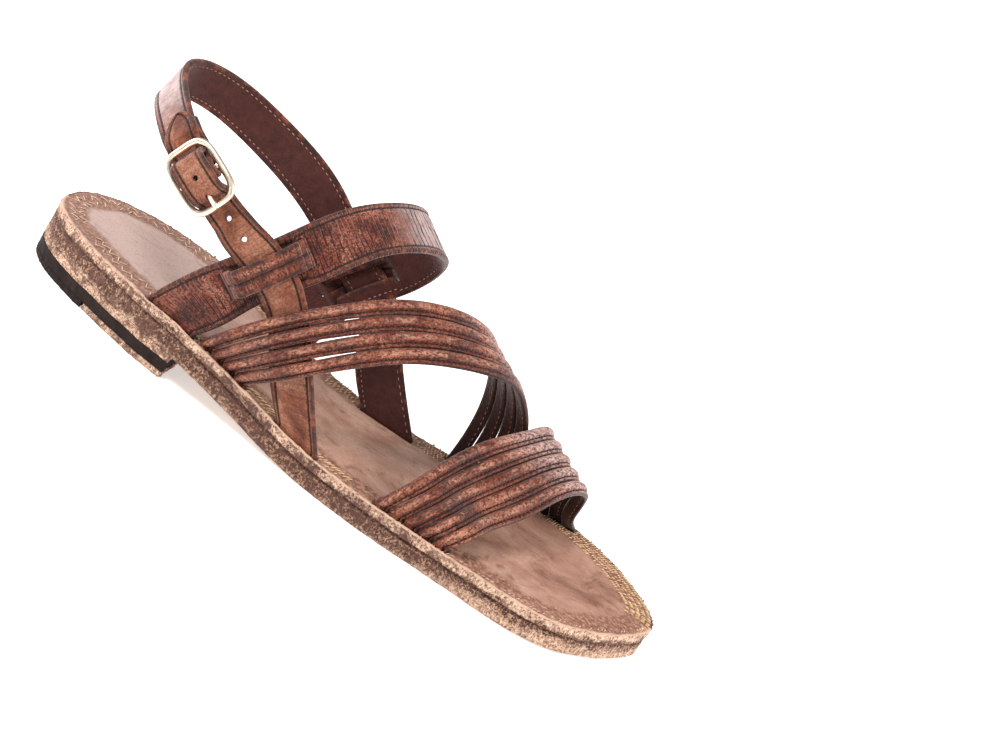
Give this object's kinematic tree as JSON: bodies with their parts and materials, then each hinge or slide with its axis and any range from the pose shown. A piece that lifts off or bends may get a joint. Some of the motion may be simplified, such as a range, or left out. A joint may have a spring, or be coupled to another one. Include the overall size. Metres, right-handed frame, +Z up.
{
  "type": "huarache sandal",
  "caption": "Open-toed leather sandal with woven ankle band, buckled heel sling, grouped instep and toe cords and a low stacked heel.",
  "frame": {"origin": "on the floor, under the middle of the front piece of the heel's top lift, on the line of the shoe's length", "axes": "+X from heel to toe, +Y to the inner side of the foot, -Y to the outer side where the buckle is, +Z up"},
  "size_m": [0.2764, 0.0958, 0.0965],
  "materials": {
    "insole_leather": "worn, burnished vegetable-tanned leather, greyish pink-brown",
    "cream_leather": "raw cut edge of stacked leather, cream with brown specks",
    "heel_leather": "raw cut edge of stacked leather",
    "lift_leather": "raw cream leather",
    "strap_leather": "waxed reddish-brown leather with cracks and dark edges",
    "sling_leather": "waxed reddish-brown leather, dark brown lining",
    "billet_leather": "waxed reddish-brown leather with dark stitched edges",
    "cord_leather": "rolled reddish-brown leather with dark stitch grooves",
    "black_rubber": "matt black",
    "pale_brass": "polished pale brass"
  },
  "bodies": {
    "root": {"insole": "insole_leather", "outsole": "cream_leather", "heel_lift": "heel_leather", "heel_rubber": "black_rubber", "top_lift_front": "lift_leather", "top_lift_rear": "black_rubber", "instep_band": "strap_leather", "heel_sling": "sling_leather", "billet_strap": "billet_leather", "buckle_frame": "pale_brass", "buckle_prong": "pale_brass", "instep_cord_1": "cord_leather", "instep_cord_2": "cord_leather", "instep_cord_3": "cord_leather", "instep_cord_4": "cord_leather", "toe_cord_1": "cord_leather", "toe_cord_2": "cord_leather", "toe_cord_3": "cord_leather", "toe_cord_4": "cord_leather", "toe_cord_5": "cord_leather"}
  },
  "joints": []
}
